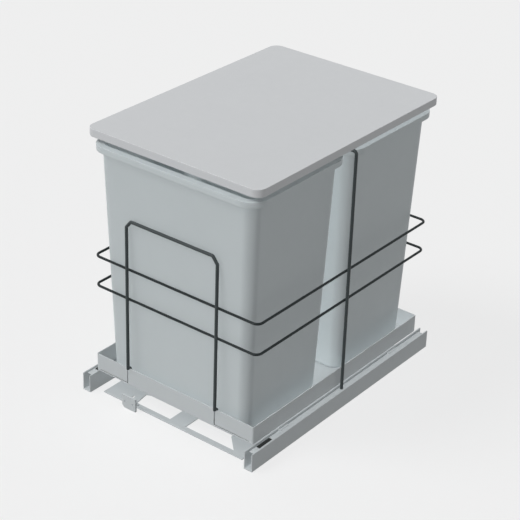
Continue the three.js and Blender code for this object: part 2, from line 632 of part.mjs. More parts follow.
function tray() {
  const half = TRAY_WIDTH / 2;
  const above = TRAY_TOP + OVERSHOOT;
  const outline = (inset) => roundedRectangle(half - inset, TRAY_FRONT + inset, TRAY_BACK - inset,
    TRAY_BEND - inset, 3);
  const outside = extrudeAlongZ(outline(0), TRAY_UNDERSIDE, TRAY_TOP);
  const inside = extrudeAlongZ(outline(TRAY_SHEET), TRAY_FLOOR, above);
  const slit = (x0, x1, top) => box(x0, x1, TRAY_FRONT - OVERSHOOT,
    TRAY_FRONT + TRAY_SHEET + OVERSHOOT, TRAY_FLOOR + TRAY_SLOT_RISE, top);
  const slits = [
    slit(FLAP_LEFT - TRAY_SLOT, FLAP_LEFT, above),
    slit(FLAP_RIGHT, FLAP_RIGHT + TRAY_SLOT, above),
    slit(-half + TRAY_RELIEF, FLAP_LEFT, TRAY_FLOOR + TRAY_SLOT),
    slit(FLAP_RIGHT, half - TRAY_RELIEF, TRAY_FLOOR + TRAY_SLOT),
  ];
  const holes = [-1, 1].flatMap((side) => trayRivetYs.map((y) =>
    rivetHole('z', [side * TRAY_RIVET_X, y, TRAY_UNDERSIDE], 0, TRAY_SHEET)));
  return without(outside, [inside, ...slits, ...holes]);
}

function trayBracket(side, middleY) {
  const footZ = RUNNER_TOP + GAP + BRACKET_SHEET / 2;
  const outline = sheetOutline([
    [side * (BRACKET_WEB_X + BRACKET_FOOT), footZ],
    [side * BRACKET_WEB_X, footZ],
    [side * BRACKET_WEB_X, BRACKET_TOP - BRACKET_SHEET / 2],
    [side * BRACKET_INNER_X, BRACKET_TOP - BRACKET_SHEET / 2],
  ], BRACKET_SHEET);
  const body = extrudeAlongY(outline, middleY - BRACKET_WIDTH / 2, middleY + BRACKET_WIDTH / 2);
  const holes = trayRivetYs.map((y) =>
    rivetHole('z', [side * TRAY_RIVET_X, y, BRACKET_TOP], -BRACKET_SHEET, 0));
  return without(body, holes);
}

function trayRivet(x, y) {
  return rivet('z', [x, y, BRACKET_TOP], -BRACKET_SHEET, GAP + TRAY_SHEET);
}

// ---- Wire cage ----------------------------------------------------------------------------------

// Each front leg ends just ahead of the front wall, level with its edge. A flattened blade laps
// over the edge from the leg's foot and runs down behind the wall.
function frontHoop() {
  const left = FLAP_LEFT + LEFT_LEG_INSET;
  const right = FLAP_RIGHT + RIGHT_LEG_OUTSET;
  const foot = TRAY_TOP + GAP;
  const y = FRONT_HOOP_Y;
  const shoulder = FRONT_HOOP_TOP - FRONT_HOOP_CORNER_DROP;
  const rod = wire([
    [left, y, foot],
    [left, y, shoulder],
    [left + FRONT_HOOP_CORNER_RUN, y, FRONT_HOOP_TOP],
    [right - FRONT_HOOP_CORNER_RUN, y, FRONT_HOOP_TOP],
    [right, y, shoulder],
    [right, y, foot],
  ], HOOP_WIRE);
  const bladeFront = TRAY_FRONT + TRAY_SHEET + GAP;
  const blades = [left, right].flatMap((x) => [
    box(x - HOOP_WIRE / 2, x + HOOP_WIRE / 2, bladeFront, bladeFront + BLADE_THICKNESS,
      TRAY_FLOOR + GAP, foot + BLADE_LAP),
    box(x - HOOP_WIRE / 2, x + HOOP_WIRE / 2, y, bladeFront + BLADE_THICKNESS, foot,
      foot + BLADE_LAP),
  ]);
  return joined([rod, ...blades]);
}

function centreHoop() {
  const x = CHANNEL_MIDDLE_X;
  const foot = RUNNER_TOP + GAP;
  const shoulder = BAR_MIDDLE - CENTRE_HOOP_CHAMFER;
  return wire([
    [-x, 0, foot],
    [-x, 0, shoulder],
    [-x + CENTRE_HOOP_CHAMFER, 0, BAR_MIDDLE],
    [x - CENTRE_HOOP_CHAMFER, 0, BAR_MIDDLE],
    [x, 0, shoulder],
    [x, 0, foot],
  ], HOOP_WIRE);
}

// The skin left by a profile of [inset, height] points that is carried round an outline. The
// profile climbs on the outline's outer side. A closed profile returns to its first point.
function carriedSkin(profile, outlineAt, closed) {
  const rings = profile.map(([inset, z]) => outlineAt(inset).map(([x, y]) => [x, y, z]));
  const around = rings[0].length;
  const levels = closed ? rings.length : rings.length - 1;
  const faces = [];
  for (let level = 0; level < levels; level += 1) {
    const low = level * around;
    const high = ((level + 1) % rings.length) * around;
    for (let i = 0; i < around; i += 1) {
      const next = (i + 1) % around;
      faces.push(low + i, low + next, high + next);
      faces.push(low + i, high + next, high + i);
    }
  }
  return { positions: rings.flat(2), faces, around };
}

function skinSolid({ positions, faces }) {
  const geometry = new THREE.BufferGeometry();
  geometry.setAttribute('position', new THREE.Float32BufferAttribute(positions, 3));
  geometry.setIndex(faces);
  return toSolid(geometry);
}

// A ring is bent from one wire and butt-welded, so its round section runs on all the way round.
function ring(z) {
  const section = arc(0, z, RING_WIRE / 2, 180, -180 + 360 / WIRE_SIDES, WIRE_SIDES - 1);
  return skinSolid(carriedSkin(section, (inset) => roundedRectangle(RING_X - inset,
    RING_FRONT + inset, RING_BACK - inset, RING_CORNER - inset, 4), true));
}

// ---- Bins ---------------------------------------------------------------------------------------

// A bin is one profile carried round a rounded rectangle: [inset from the rim, height].
const BIN_PROFILE = [
  [BIN_FOOT_INSET, BIN_FLOOR],
  [BIN_SHOULDER, SHOULDER_Z],
  [BIN_SHOULDER, RIM_TOP - BIN_WALL],
  [BIN_SKIRT_WALL, RIM_TOP - BIN_WALL],
  [BIN_SKIRT_WALL, RIM_TOP - BIN_SKIRT],
  [0, RIM_TOP - BIN_SKIRT],
  [0, RIM_TOP - BIN_RIM_EDGE],
  [BIN_RIM_EDGE, RIM_TOP],
  [BIN_FLANGE, RIM_TOP],
  [BIN_SHOULDER + BIN_WALL, SHOULDER_Z],
  [BIN_FOOT_INSET + BIN_WALL, BIN_FLOOR + BIN_WALL],
];
const BIN_CORNER_STEPS = 5;

function bin(y0, y1) {
  const { positions, faces, around } = carriedSkin(BIN_PROFILE, (inset) =>
    roundedRectangle(BIN_WIDTH / 2 - inset, y0 + inset, y1 - inset,
      Math.max(BIN_CORNER - inset, BIN_LEAST_CORNER), BIN_CORNER_STEPS), false);
  const middleY = (y0 + y1) / 2;
  positions.push(0, middleY, BIN_FLOOR, 0, middleY, BIN_FLOOR + BIN_WALL);
  const underside = BIN_PROFILE.length * around;
  const inside = underside + 1;
  const last = (BIN_PROFILE.length - 1) * around;
  for (let i = 0; i < around; i += 1) {
    const next = (i + 1) % around;
    faces.push(underside, next, i);
    faces.push(inside, last + i, last + next);
  }
  return skinSolid({ positions, faces });
}

// ---- Lid ----------------------------------------------------------------------------------------

const saddleXs = [-SADDLE_SPACING / 2, SADDLE_SPACING / 2];
const saddleScrewYs = [-SADDLE_SCREW_PITCH / 2, SADDLE_SCREW_PITCH / 2];
const SADDLE_BOTTOM = RIM_TOP + GAP;
const SCREW_HEAD_TOP = SADDLE_BOTTOM + SCREW_HEAD_HEIGHT + SCREW_HEAD_RECESS;

function lid() {
  const outline = (inset) => roundedRectangle(LID_WIDTH / 2 - inset, FRONT + LID_SETBACK + inset,
    BACK - LID_SETBACK - inset, LID_CORNER - inset, 5);
  const shape = new THREE.Shape(outline(LID_EDGE).map(([x, y]) => new THREE.Vector2(x, y)));
  const slab = new THREE.ExtrudeGeometry(shape, {
    depth: LID_THICKNESS - 2 * LID_EDGE,
    bevelEnabled: true,
    bevelSize: LID_EDGE,
    bevelThickness: LID_EDGE,
    bevelSegments: 1,
  });
  slab.translate(0, 0, LID_UNDERSIDE + LID_EDGE);
  const pilots = saddleXs.flatMap((x) => saddleScrewYs.map((y) =>
    pin('z', SCREW_SHANK + 2 * HOLE_CLEARANCE, [x, y, LID_UNDERSIDE - OVERSHOOT],
      [x, y, LID_UNDERSIDE + SCREW_REACH + GAP])));
  return without(toSolid(slab), pilots);
}

// The saddle straddles the hoop's bar and bears on the rims of both bins.
function saddle(x) {
  const block = box(x - SADDLE_WIDTH / 2, x + SADDLE_WIDTH / 2, -SADDLE_LENGTH / 2,
    SADDLE_LENGTH / 2, SADDLE_BOTTOM, SADDLE_TOP);
  const barSlot = box(x - SADDLE_WIDTH, x + SADDLE_WIDTH, -HOOP_WIRE / 2 - GAP,
    HOOP_WIRE / 2 + GAP, SADDLE_BOTTOM - OVERSHOOT, BAR_TOP + GAP);
  const holes = saddleScrewYs.flatMap((y) => {
    const below = [x, y, SADDLE_BOTTOM - OVERSHOOT];
    return [
      pin('z', SCREW_SHANK + 2 * HOLE_CLEARANCE, below, [x, y, SADDLE_TOP + OVERSHOOT]),
      pin('z', SCREW_HEAD + 2 * HOLE_CLEARANCE, below, [x, y, SCREW_HEAD_TOP]),
    ];
  });
  return without(block, [barSlot, ...holes]);
}

function saddleScrew(x, y) {
  const headTop = SCREW_HEAD_TOP - GAP;
  return joined([
    pin('z', SCREW_HEAD, [x, y, headTop - SCREW_HEAD_HEIGHT], [x, y, headTop]),
    pin('z', SCREW_SHANK, [x, y, headTop - SCREW_HEAD_HEIGHT / 2],
      [x, y, LID_UNDERSIDE + SCREW_REACH]),
  ]);
}

// ---- Assembly -----------------------------------------------------------------------------------

const cabinetPullOut = new THREE.Group();

function place(name, solid, material) {
  const mesh = new THREE.Mesh(toGeometry(solid), material);
  mesh.name = name;
  cabinetPullOut.add(mesh);
}

place('base_plate', basePlate(), GREY_PAINT);
place('front_lug', frontLug(), GREY_PAINT);
place('lug_rivet_left', lugRivet(lugRivets[0]), BRIGHT_STEEL);
place('lug_rivet_right', lugRivet(lugRivets[1]), BRIGHT_STEEL);

for (const [name, side] of [['left', -1], ['right', 1]]) {
  place(`channel_${name}`, channel(side), GREY_PAINT);
  place(`rear_bumper_${name}`, rearBumper(side), BLACK_RUBBER);
  place(`slide_outer_${name}`, outerMember(side), ZINC);
  place(`ball_cage_outer_${name}`, outerCage(side), BRIGHT_STEEL);
  place(`slide_middle_${name}`, middleMember(side), ZINC);
  place(`ball_cage_inner_${name}`, innerCage(side), BRIGHT_STEEL);
  place(`slide_inner_${name}`, innerMember(side), ZINC);
  place(`runner_${name}`, runner(side), GREY_PAINT);
  place(`runner_buffer_${name}`, runnerBuffer(side), BLACK_RUBBER);

  for (const [end, index] of [['front', 0], ['rear', 1]]) {
    const runnerY = RUNNER_RIVET_YS[index];
    const bracketY = BRACKET_YS[index];
    const x = side * TRAY_RIVET_X;
    const step = BRACKET_RIVET_STEP / 2;
    place(`wing_rivet_${end}_${name}`, wingRivet(side, WING_YS[index]), BRIGHT_STEEL);
    place(`runner_rivet_${end}_${name}`, runnerRivet(side, runnerY), BRIGHT_STEEL);
    place(`tray_bracket_${end}_${name}`, trayBracket(side, bracketY), GREY_PAINT);
    place(`tray_rivet_a_${end}_${name}`, trayRivet(x, bracketY - step), BRIGHT_STEEL);
    place(`tray_rivet_b_${end}_${name}`, trayRivet(x, bracketY + step), BRIGHT_STEEL);
  }
}

place('tray', tray(), GREY_PAINT);
place('front_hoop', frontHoop(), DARK_WIRE);
place('centre_hoop', centreHoop(), DARK_WIRE);
place('ring_lower', ring(RING_HEIGHTS[0]), DARK_WIRE);
place('ring_upper', ring(RING_HEIGHTS[1]), DARK_WIRE);

place('front_bin', bin(FRONT + BIN_END_SETBACK, -BIN_SPACE / 2), GREY_PLASTIC);
place('rear_bin', bin(BIN_SPACE / 2, BACK - BIN_END_SETBACK), GREY_PLASTIC);

place('lid', lid(), LID_PLASTIC);
for (const [name, x] of [['left', saddleXs[0]], ['right', saddleXs[1]]]) {
  place(`lid_saddle_${name}`, saddle(x), BLACK_PLASTIC);
  place(`saddle_screw_front_${name}`, saddleScrew(x, saddleScrewYs[0]), BRIGHT_STEEL);
  place(`saddle_screw_rear_${name}`, saddleScrew(x, saddleScrewYs[1]), BRIGHT_STEEL);
}

export default cabinetPullOut;
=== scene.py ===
import math

import bmesh
import bpy
from mathutils import Matrix, Vector


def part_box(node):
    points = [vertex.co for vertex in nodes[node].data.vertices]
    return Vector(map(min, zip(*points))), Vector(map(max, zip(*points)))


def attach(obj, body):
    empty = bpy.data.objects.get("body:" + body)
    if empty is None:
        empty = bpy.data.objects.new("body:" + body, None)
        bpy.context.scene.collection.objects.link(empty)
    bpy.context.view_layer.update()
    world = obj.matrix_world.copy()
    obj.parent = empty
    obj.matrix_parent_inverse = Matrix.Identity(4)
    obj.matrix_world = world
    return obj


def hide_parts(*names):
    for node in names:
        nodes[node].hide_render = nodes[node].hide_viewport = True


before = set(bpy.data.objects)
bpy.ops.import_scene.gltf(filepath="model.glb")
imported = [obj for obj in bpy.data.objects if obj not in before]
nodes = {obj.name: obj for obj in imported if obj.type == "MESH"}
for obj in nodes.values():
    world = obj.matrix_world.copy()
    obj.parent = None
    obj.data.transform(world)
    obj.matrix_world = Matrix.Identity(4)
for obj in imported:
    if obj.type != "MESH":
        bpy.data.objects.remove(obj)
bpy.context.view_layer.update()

# ---- Camera --------------------------------------------------------------------------------------
# A long lens, high on the front right, rolled a little to level the fitting in the picture. Its
# place and its turns were solved from the fitting's straight edges.

camera_lens = 111.174
camera_place = (1.57822, -2.07155, 1.65550)
camera_turn = math.radians(37.428)
camera_drop = math.radians(28.630)
camera_roll = math.radians(1.938)
camera_data = bpy.data.cameras.new("camera")
camera_data.sensor_width = 36.0
camera_data.lens = camera_lens
camera = bpy.data.objects.new("camera", camera_data)
bpy.context.scene.collection.objects.link(camera)
camera.matrix_world = (
    Matrix.Translation(camera_place)
    @ Matrix.Rotation(camera_turn, 4, "Z")
    @ Matrix.Rotation(math.radians(90) - camera_drop, 4, "X")
    @ Matrix.Rotation(camera_roll, 4, "Z")
)
bpy.context.scene.camera = camera

# ---- Floor channels ------------------------------------------------------------------------------
# Two long U-shaped channels that lie flat on the cabinet's floor. Each is folded from steel sheet
# and powder coated in a satin grey, which rounds the cut edges a little.

SIDES = ("left", "right")


def linear(red, green, blue):
    """A colour as read on a screen, 0 to 255, made linear."""
    def one(value):
        share = value / 255
        return share / 12.92 if share <= 0.04045 else ((share + 0.055) / 1.055) ** 2.4
    return one(red), one(green), one(blue), 1.0


# A noise seldom goes past these two values.
noise_low = 0.3
noise_high = 0.7


def noise_between(tree, scale, detail, low, high):
    """A noise on object coordinates, spread between two values."""
    place = tree.nodes.new("ShaderNodeTexCoord")
    noise = tree.nodes.new("ShaderNodeTexNoise")
    noise.inputs["Scale"].default_value = scale
    noise.inputs["Detail"].default_value = detail
    spread = tree.nodes.new("ShaderNodeMapRange")
    spread.inputs["From Min"].default_value = noise_low
    spread.inputs["From Max"].default_value = noise_high
    spread.inputs["To Min"].default_value = low
    spread.inputs["To Max"].default_value = high
    tree.links.new(place.outputs["Object"], noise.inputs["Vector"])
    tree.links.new(noise.outputs["Fac"], spread.inputs["Value"])
    return spread.outputs["Result"]


coating_index = 1.46
cloud_scale = 14
gloss_scale = 60
gloss_spread = 0.05
grain_depth = 0.0002


def coated(name, colour, shade, roughness, grain, bump, shine=0.5):
    """A coating or moulding: a faint cloudy shade, uneven gloss and a fine grain."""
    material = bpy.data.materials.new(name)
    material.use_nodes = True
    tree = material.node_tree
    shader = tree.nodes["Principled BSDF"]
    shader.inputs["Metallic"].default_value = 0.0
    shader.inputs["IOR"].default_value = coating_index
    shader.inputs["Specular IOR Level"].default_value = shine
    tint = tree.nodes.new("ShaderNodeMix")
    tint.data_type = "RGBA"
    tint.inputs["A"].default_value = [channel * (1 - shade) for channel in colour[:3]] + [1]
    tint.inputs["B"].default_value = [channel * (1 + shade) for channel in colour[:3]] + [1]
    cloud = noise_between(tree, cloud_scale, detail=4, low=0, high=1)
    tree.links.new(cloud, tint.inputs["Factor"])
    tree.links.new(tint.outputs["Result"], shader.inputs["Base Color"])
    gloss = noise_between(tree, gloss_scale, detail=3, low=roughness - gloss_spread,
                          high=roughness + gloss_spread)
    tree.links.new(gloss, shader.inputs["Roughness"])
    relief = tree.nodes.new("ShaderNodeBump")
    relief.inputs["Strength"].default_value = bump
    relief.inputs["Distance"].default_value = grain_depth
    fine_grain = noise_between(tree, grain, detail=2, low=0, high=1)
    tree.links.new(fine_grain, relief.inputs["Height"])
    tree.links.new(relief.outputs["Normal"], shader.inputs["Normal"])
    return material


def baked(holder, name):
    """The finished mesh of an object with modifiers. The object is then removed."""
    graph = bpy.context.evaluated_depsgraph_get()
    mesh = bpy.data.meshes.new_from_object(holder.evaluated_get(graph))
    mesh.name = name
    bpy.data.objects.remove(holder)
    return mesh


def placed(name, mesh):
    """An object at the origin that holds a mesh."""
    holder = bpy.data.objects.new(name, mesh)
    bpy.context.scene.collection.objects.link(holder)
    return holder


merge_gap = 1e-6
flat_angle = math.radians(1)
corner_angle = math.radians(40)
edge_steps = 2


def softened(node, edge):
    """A copy of a CAD node's shape with its sharp edges rounded."""
    copy = nodes[node].data.copy()
    work = bmesh.new()
    work.from_mesh(copy)
    bmesh.ops.remove_doubles(work, verts=work.verts, dist=merge_gap)
    bmesh.ops.dissolve_limit(work, angle_limit=flat_angle, verts=work.verts, edges=work.edges)
    work.to_mesh(copy)
    work.free()
    holder = placed("work", copy)
    bevel = holder.modifiers.new("edge", "BEVEL")
    bevel.width = edge
    bevel.segments = edge_steps
    bevel.limit_method = "ANGLE"
    bevel.angle_limit = corner_angle
    return baked(holder, node)


# An edge that turns by more than this stays crisp.
crisp_angle = math.radians(35)


def add_piece(name, mesh, material, body, replaced):
    """Links a finished mesh, its flat faces shaded flat, as the piece that stands for CAD nodes."""
    mesh.materials.clear()
    mesh.materials.append(material)
    mesh.shade_smooth()
    mesh.set_sharp_from_angle(angle=crisp_angle)
    holder = placed("work", mesh)
    even = holder.modifiers.new("even", "WEIGHTED_NORMAL")
    even.keep_sharp = True
    piece = placed(name, baked(holder, name))
    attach(piece, body)
    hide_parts(*replaced)


painted_steel = coated("painted_steel", linear(187, 192, 194), shade=0.012, roughness=0.5,
                       grain=900, bump=0.12)
sheet_edge = 0.00035


def sheet_piece(node, body):
    """A folded sheet piece, coated after folding."""
    add_piece(f"{node}_sheet", softened(node, sheet_edge), painted_steel, body,
              [node])


for side in SIDES:
    sheet_piece(f"channel_{side}", "base")

# ---- Base plate ----------------------------------------------------------------------------------
# One thin sheet of coated steel that ties the channels together. It has two windows near the front,
# and its turned up wing tabs are riveted to the channels.

sheet_piece("base_plate", "base")

# ---- Front lug -----------------------------------------------------------------------------------
# A lug of thicker steel with the same coating and two screw holes in its upright face. Its foot is
# riveted on the front edge of the base plate.

sheet_piece("front_lug", "base")

# ---- Ball slides ---------------------------------------------------------------------------------
# Three members to each side, rolled from zinc-plated steel strip. Rolling leaves long fine lines,
# and the plating has a cool, uneven shine.

plating = 0.85
line_scale = (900, 12, 900)
line_gloss = 0.08
line_shade = 0.9


def rolled(name, colour, roughness):
    """Bare or plated metal with fine lines along the fitting's length."""
    material = bpy.data.materials.new(name)
    material.use_nodes = True
    tree = material.node_tree
    shader = tree.nodes["Principled BSDF"]
    shader.inputs["Metallic"].default_value = plating
    place = tree.nodes.new("ShaderNodeTexCoord")
    stretch = tree.nodes.new("ShaderNodeMapping")
    stretch.inputs["Scale"].default_value = line_scale
    lines = tree.nodes.new("ShaderNodeTexNoise")
    lines.inputs["Scale"].default_value = 1
    spread = tree.nodes.new("ShaderNodeMapRange")
    spread.inputs["To Min"].default_value = roughness - line_gloss
    spread.inputs["To Max"].default_value = roughness + line_gloss
    tint = tree.nodes.new("ShaderNodeMix")
    tint.data_type = "RGBA"
    tint.inputs["A"].default_value = [channel * line_shade for channel in colour[:3]] + [1]
    tint.inputs["B"].default_value = colour
    tree.links.new(place.outputs["Object"], stretch.inputs["Vector"])
    tree.links.new(stretch.outputs["Vector"], lines.inputs["Vector"])
    tree.links.new(lines.outputs["Fac"], spread.inputs["Value"])
    tree.links.new(spread.outputs["Result"], shader.inputs["Roughness"])
    tree.links.new(lines.outputs["Fac"], tint.inputs["Factor"])
    tree.links.new(tint.outputs["Result"], shader.inputs["Base Color"])
    return material


def refinish(node, material):
    """Gives a CAD node that keeps its own shape its real finish."""
    nodes[node].data.materials.clear()
    nodes[node].data.materials.append(material)


zinc_steel = rolled("zinc_steel", linear(176, 181, 184), roughness=0.38)
for side in SIDES:
    for stage in ("outer", "middle", "inner"):
        refinish(f"slide_{stage}_{side}", zinc_steel)

# ---- Ball cages ----------------------------------------------------------------------------------
# A thin bent strip of bright steel holds the balls of each stage at an even pitch. It lies loose
# between two members and is carried along by its balls.

bright_steel = rolled("bright_steel", linear(205, 208, 210), roughness=0.28)
for side in SIDES:
    for stage in ("outer", "inner"):
        refinish(f"ball_cage_{stage}_{side}", bright_steel)

# ---- Runners -------------------------------------------------------------------------------------
# The moving rails, each a bent sheet of coated steel. Its top closes the channel's mouth, and its
# web is riveted to the slide's inner member.

for side in SIDES:
    sheet_piece(f"runner_{side}", "carriage")

# ---- Buffers and bumpers -------------------------------------------------------------------------
# A black rubber buffer is stuck on each runner near the front, and a rubber bumper stops the runner
# at the back of each channel.

black_rubber = coated("black_rubber", linear(24, 28, 28), shade=0.05, roughness=0.75,
                      grain=1400, bump=0.2)
rubber_edge = 0.0005
for side in SIDES:
    for node, body in ((f"runner_buffer_{side}", "carriage"), (f"rear_bumper_{side}", "base")):
        add_piece(f"{node}_rubber", softened(node, rubber_edge), black_rubber, body,
                  [node])

# ---- Tray brackets -------------------------------------------------------------------------------
# Four bent brackets of coated steel carry the tray on its runners. Each foot lies on a runner, and
# each top flange is riveted under the tray's floor.

for side in SIDES:
    for end in ("front", "rear"):
        sheet_piece(f"tray_bracket_{end}_{side}", "carriage")

# ---- Tray ----------------------------------------------------------------------------------------
# Folded from one sheet of steel and coated like the channels. The front wall is a flap between two
# side returns, parted by narrow slits.

sheet_piece("tray", "carriage")

# ---- Rivets --------------------------------------------------------------------------------------
# Steel rivets with low domed heads hold the sheet pieces. One tree puts a turned pin at every point
# of a mesh, and each point is the middle of a rivet.


def new_tree(name, inputs):
    """A geometry tree with geometry in, named inputs, and geometry out."""
    tree = bpy.data.node_groups.new(name, "GeometryNodeTree")
    tree.interface.new_socket("Geometry", in_out="INPUT", socket_type="NodeSocketGeometry")
    for label, kind in inputs:
        tree.interface.new_socket(label, in_out="INPUT", socket_type=kind)
    tree.interface.new_socket("Geometry", in_out="OUTPUT", socket_type="NodeSocketGeometry")
    return tree


def finish_tree(tree, geometry, given):
    """Realizes the instances, sets the material and joins the output."""
    whole = tree.nodes.new("GeometryNodeRealizeInstances")
    paint = tree.nodes.new("GeometryNodeSetMaterial")
    taken = tree.nodes.new("NodeGroupOutput")
    tree.links.new(geometry, whole.inputs["Geometry"])
    tree.links.new(whole.outputs["Geometry"], paint.inputs["Geometry"])
    tree.links.new(given.outputs["Material"], paint.inputs["Material"])
    tree.links.new(paint.outputs["Geometry"], taken.inputs["Geometry"])


def run_tree(name, tree, source, values):
    """The mesh that a tree makes from a source mesh."""
    holder = placed("work", source)
    modifier = holder.modifiers.new("make", "NODES")
    modifier.node_group = tree
    for item in tree.interface.items_tree:
        if item.in_out == "INPUT" and item.name in values:
            modifier[item.identifier] = values[item.name]
    bpy.context.view_layer.update()
    return baked(holder, name)


pin_sides = 24


def turned(axis, outline):
    """A closed turned pin. The outline is (radius, distance) from one end to the other."""
    work = bmesh.new()
    rings = []
    for radius, distance in outline:
        angles = [math.tau * i / pin_sides for i in range(pin_sides)]
        rings.append([work.verts.new((radius * math.cos(angle), radius * math.sin(angle), distance))
                      for angle in angles])
    for low_ring, high_ring in zip(rings, rings[1:]):
        for i in range(pin_sides):
            after = (i + 1) % pin_sides
            work.faces.new((low_ring[i], low_ring[after], high_ring[after], high_ring[i]))
    work.faces.new(list(reversed(rings[0])))
    work.faces.new(rings[-1])
    if axis == "x":
        turn = Matrix.Rotation(math.pi / 2, 4, "Y")
        bmesh.ops.transform(work, matrix=turn, verts=work.verts)
    mesh = bpy.data.meshes.new("pin")
    work.to_mesh(mesh)
    work.free()
    return mesh


def fastener_tree():
    """Puts the pin object at every point."""
    tree = new_tree("fasteners", [("Pin", "NodeSocketObject"), ("Material", "NodeSocketMaterial")])
    given = tree.nodes.new("NodeGroupInput")
    pin = tree.nodes.new("GeometryNodeObjectInfo")
    spread = tree.nodes.new("GeometryNodeInstanceOnPoints")
    tree.links.new(given.outputs["Pin"], pin.inputs["Object"])
    tree.links.new(given.outputs["Geometry"], spread.inputs["Points"])
    tree.links.new(pin.outputs["Geometry"], spread.inputs["Instance"])
    finish_tree(tree, spread.outputs["Instances"], given)
    return tree


fasteners = fastener_tree()


def fastener_piece(name, node_names, axis, outline, body):
    """One mesh of like fasteners, each centred on its CAD node."""
    centres = []
    for node in node_names:
        low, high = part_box(node)
        centres.append((low + high) / 2)
    points = bpy.data.meshes.new("points")
    points.from_pydata(centres, [], [])
    pin = placed("pin", turned(axis, outline))
    mesh = run_tree(name, fasteners, points, {"Pin": pin, "Material": bright_steel})
    bpy.data.objects.remove(pin)
    add_piece(name, mesh, bright_steel, body, node_names)


def length_of(node, axis):
    """A node's length along X, Y or Z."""
    low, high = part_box(node)
    return getattr(high - low, axis)


rivet_shank = 0.0015
rivet_head = 0.003
rivet_rise = 0.0009
dome_degrees = (0, 25, 50, 75)


def rivet_outline(length):
    """Two low domes on a shank, within a total length."""
    flat = length / 2 - rivet_rise
    dome = []
    for degrees in dome_degrees:
        angle = math.radians(degrees)
        dome.append((rivet_head * math.cos(angle), flat + rivet_rise * math.sin(angle)))
    upper = [(rivet_shank, flat)] + dome
    return [(radius, -distance) for radius, distance in reversed(upper)] + upper


places = [(end, side) for side in SIDES for end in ("front", "rear")]
wing_rivets = [f"wing_rivet_{end}_{side}" for end, side in places]
runner_rivets = [f"runner_rivet_{end}_{side}" for end, side in places]
tray_rivets = [f"tray_rivet_{mark}_{end}_{side}" for end, side in places for mark in "ab"]
for group, rivets, axis, body in (
    ("wing_rivets", wing_rivets, "x", "base"),
    ("runner_rivets", runner_rivets, "x", "carriage"),
    ("tray_rivets", tray_rivets, "z", "carriage"),
):
    fastener_piece(group, rivets, axis, rivet_outline(length_of(rivets[0], axis)), body)

# The lug's rivets are set flush below, so that the plate still lies flat.
lug_rivets = [f"lug_rivet_{side}" for side in SIDES]
lug_length = length_of(lug_rivets[0], "z")
upper_half = [point for point in rivet_outline(lug_length) if point[1] > 0]
fastener_piece("lug_rivets", lug_rivets, "z", [(rivet_shank, -lug_length / 2)] + upper_half, "base")

# ---- Centre hoop ---------------------------------------------------------------------------------
# Round steel wire with a dark grey coating, bent twice. Its legs stand on the runners and its bar
# carries the lid. One tree rounds a line's corners and carries a round section along it.

bend_steps = 10
wire_sides = 20


def wire_tree():
    """Rounds a line's corners and carries a round section along it."""
    tree = new_tree("wire", [
        ("Bend Radius", "NodeSocketFloat"),
        ("Wire Radius", "NodeSocketFloat"),
        ("Material", "NodeSocketMaterial"),
    ])
    given = tree.nodes.new("NodeGroupInput")
    line = tree.nodes.new("GeometryNodeMeshToCurve")
    bend = tree.nodes.new("GeometryNodeFilletCurve")
    bend.mode = "POLY"
    bend.inputs["Count"].default_value = bend_steps
    section = tree.nodes.new("GeometryNodeCurvePrimitiveCircle")
    section.inputs["Resolution"].default_value = wire_sides
    sweep = tree.nodes.new("GeometryNodeCurveToMesh")
    sweep.inputs["Fill Caps"].default_value = True
    tree.links.new(given.outputs["Geometry"], line.inputs["Mesh"])
    tree.links.new(line.outputs["Curve"], bend.inputs["Curve"])
    tree.links.new(given.outputs["Bend Radius"], bend.inputs["Radius"])
    tree.links.new(given.outputs["Wire Radius"], section.inputs["Radius"])
    tree.links.new(bend.outputs["Curve"], sweep.inputs["Curve"])
    tree.links.new(section.outputs["Curve"], sweep.inputs["Profile Curve"])
    finish_tree(tree, sweep.outputs["Mesh"], given)
    return tree


wire_maker = wire_tree()


def bent_wire(name, corners, closed, bend_radius, wire_radius, material):
    """A wire through its corners, which are rounded."""
    links = [(i, i + 1) for i in range(len(corners) - 1)]
    if closed:
        links.append((len(corners) - 1, 0))
    line = bpy.data.meshes.new("line")
    line.from_pydata(corners, links, [])
    values = {"Bend Radius": bend_radius, "Wire Radius": wire_radius, "Material": material}
    return run_tree(name, wire_maker, line, values)


hoop_wire = coated("hoop_wire", linear(60, 66, 67), shade=0.04, roughness=0.45,
                   grain=700, bump=0.1, shine=0.2)
centre_bend = 0.006
low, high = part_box("centre_hoop")
hoop_radius = (high.y - low.y) / 2
left, right = low.x + hoop_radius, high.x - hoop_radius
bar_z = high.z - hoop_radius
corners = [(left, 0, low.z), (left, 0, bar_z), (right, 0, bar_z), (right, 0, low.z)]
add_piece("centre_hoop_wire",
          bent_wire("centre_hoop", corners, False, centre_bend, hoop_radius, hoop_wire),
          hoop_wire, "carriage", ["centre_hoop"])

# ---- Front hoop ----------------------------------------------------------------------------------
# The same wire, bent four times, so that its upper corners are cut across. Each leg ends in a
# flattened blade that laps over the tray's front wall and runs down behind it.

front_bend = 0.004
corner_drop = 0.013
corner_run = 0.0104
blade_thickness = 0.0025
blade_lap = 0.002
blade_half_width = 0.0024
blade_edge = 0.0004
weld_gap = 0.0003
low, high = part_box("front_hoop")
left, right = low.x + hoop_radius, high.x - hoop_radius
hoop_y = low.y + hoop_radius
bar_z = high.z - hoop_radius
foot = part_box("tray")[1].z + weld_gap
corners = [(left, hoop_y, foot), (left, hoop_y, bar_z - corner_drop),
           (left + corner_run, hoop_y, bar_z), (right - corner_run, hoop_y, bar_z),
           (right, hoop_y, bar_z - corner_drop), (right, hoop_y, foot)]
blade_front = high.y - blade_thickness
blade_side = [(hoop_y, foot), (blade_front, foot), (blade_front, low.z), (high.y, low.z),
              (high.y, foot + blade_lap), (hoop_y, foot + blade_lap)]


